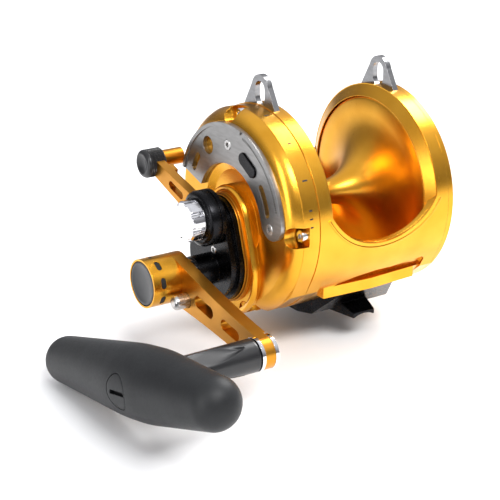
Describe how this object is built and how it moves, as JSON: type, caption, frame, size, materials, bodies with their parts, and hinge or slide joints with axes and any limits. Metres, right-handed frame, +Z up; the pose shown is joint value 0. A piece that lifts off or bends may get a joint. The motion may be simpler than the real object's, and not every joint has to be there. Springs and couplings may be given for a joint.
{
  "type": "trolling reel",
  "caption": "Two-speed lever-drag trolling reel: ring frame with turning spool, drag lever on a quadrant, gear housing, crank with T-grip, harness lugs and rod foot.",
  "frame": {"origin": "crown of the rod saddle under the foot, midway along the foot and midway between the side rings", "axes": "+X along the spool axis away from the crank, -Y towards the rod tip, +Z up from the rod"},
  "size_m": [0.2483, 0.2262, 0.1564],
  "materials": {
    "gold_anodised": "satin gold anodised",
    "grey_titanium": "satin grey",
    "black_anodised": "satin black anodised",
    "stainless": "turned stainless steel",
    "chrome": "bright plated",
    "bearing_steel": "ground steel",
    "bronze": "machined bronze",
    "drag_fibre": "carbon fibre drag lining",
    "black_plastic": "moulded black plastic",
    "grip_rubber": "soft grey-black grip rubber"
  },
  "bodies": {
    "reel_body": {"frame": "gold_anodised", "harness_lug_handle_side": "grey_titanium", "harness_lug_far_side": "grey_titanium", "harness_lug_pins": "stainless", "handle_side_plate": "gold_anodised", "side_plate_screws": "chrome", "drag_quadrant": "grey_titanium", "quadrant_screws": "stainless", "gear_cover": "black_anodised", "gear_cover_screws": "stainless", "oil_port_screw": "stainless", "main_shaft_outer_bearing": "bearing_steel", "bridge_plate": "bearing_steel", "bridge_screws": "stainless", "pinion_bearing": "bearing_steel", "main_shaft_inner_bearing": "bearing_steel", "dog_pin": "stainless", "far_side_plate": "gold_anodised", "far_shaft_bush": "bronze", "far_bearing_cap": "black_anodised", "far_plate_screws": "chrome", "reel_foot": "black_anodised", "foot_screws": "stainless"},
    "crank": {"high_gear": "bronze", "main_shaft": "stainless", "ratchet_wheel": "stainless", "shaft_collar": "chrome", "crank_hub": "gold_anodised", "crank_arm": "gold_anodised", "crank_arm_washers": "chrome", "grip_spindle": "stainless"},
    "low_gear": {"low_gear": "bronze"},
    "pinion": {"pinion_sleeve": "stainless", "pressure_plate": "stainless", "drag_washer": "drag_fibre"},
    "drag_shaft": {"drag_shaft": "stainless"},
    "spool": {"spool": "gold_anodised", "spool_bearings": "bearing_steel", "click_ratchet": "stainless"},
    "drag_lever": {"lever_hub": "black_anodised", "lever_arm": "gold_anodised", "lever_knob": "black_plastic"},
    "preset_knob": {"drag_preset_knob": "chrome"},
    "strike_button": {"strike_button": "black_anodised"},
    "shift_button": {"shift_button": "black_plastic", "shift_rod": "stainless"},
    "shift_release_pin": {"shift_release_pin": "chrome"},
    "grip": {"grip_shank": "black_plastic", "t_grip": "grip_rubber", "grip_cap": "black_plastic"},
    "clicker": {"click_button": "black_anodised", "click_tongue": "stainless"},
    "anti_reverse_dog": {"anti_reverse_dog": "stainless"}
  },
  "joints": [
    {"name": "crank_turn", "type": "hinge", "parent": "reel_body", "child": "crank", "pos_m": [-0.1, 0.002, 0.03056], "axis": [1, 0, 0], "continuous": true},
    {"name": "pinion_turn", "type": "hinge", "parent": "reel_body", "child": "pinion", "pos_m": [-0.045, 0, 0.0625], "axis": [1, 0, 0], "continuous": true},
    {"name": "low_gear_turn", "type": "hinge", "parent": "reel_body", "child": "low_gear", "pos_m": [-0.054, 0.002, 0.03056], "axis": [1, 0, 0], "continuous": true},
    {"name": "lever_swing", "type": "hinge", "parent": "reel_body", "child": "drag_lever", "pos_m": [-0.083, 0, 0.0625], "axis": [1, 0, 0], "range_deg": [0, 135]},
    {"name": "drag_shaft_pull", "type": "slide", "parent": "reel_body", "child": "drag_shaft", "axis": [-1, 0, 0], "range_m": [0, 0.0006]},
    {"name": "spool_turn", "type": "hinge", "parent": "drag_shaft", "child": "spool", "pos_m": [0, 0, 0.0625], "axis": [1, 0, 0], "continuous": true},
    {"name": "preset_turn", "type": "hinge", "parent": "drag_shaft", "child": "preset_knob", "pos_m": [-0.092, 0, 0.0625], "axis": [1, 0, 0], "range_deg": [-150, 150]},
    {"name": "strike_press", "type": "slide", "parent": "reel_body", "child": "strike_button", "axis": [1, 0, 0], "range_m": [0, 0.0012], "stiffness_N_per_m": 400},
    {"name": "shift_press", "type": "slide", "parent": "crank", "child": "shift_button", "axis": [1, 0, 0], "range_m": [0, 0.0035]},
    {"name": "release_press", "type": "slide", "parent": "crank", "child": "shift_release_pin", "axis": [1, 0, 0], "range_m": [0, 0.0022], "stiffness_N_per_m": 400},
    {"name": "grip_spin", "type": "hinge", "parent": "crank", "child": "grip", "pos_m": [-0.14, -0.08586, 0.01633], "axis": [1, 0, 0], "continuous": true},
    {"name": "click_slide", "type": "slide", "parent": "reel_body", "child": "clicker", "axis": [0, 0, -1], "range_m": [0, 0.0026]},
    {"name": "dog_swing", "type": "hinge", "parent": "reel_body", "child": "anti_reverse_dog", "pos_m": [-0.07, 0.0175, 0.037], "axis": [1, 0, 0], "range_deg": [0, 19]}
  ],
  "couplings": [
    {"joint": "pinion_turn", "follows": "crank_turn", "ratio": -3},
    {"joint": "low_gear_turn", "follows": "crank_turn", "ratio": 2.3333},
    {"joint": "spool_turn", "follows": "crank_turn", "ratio": -3},
    {"joint": "drag_shaft_pull", "follows": "lever_swing", "m_per_rad": 0.000254}
  ]
}
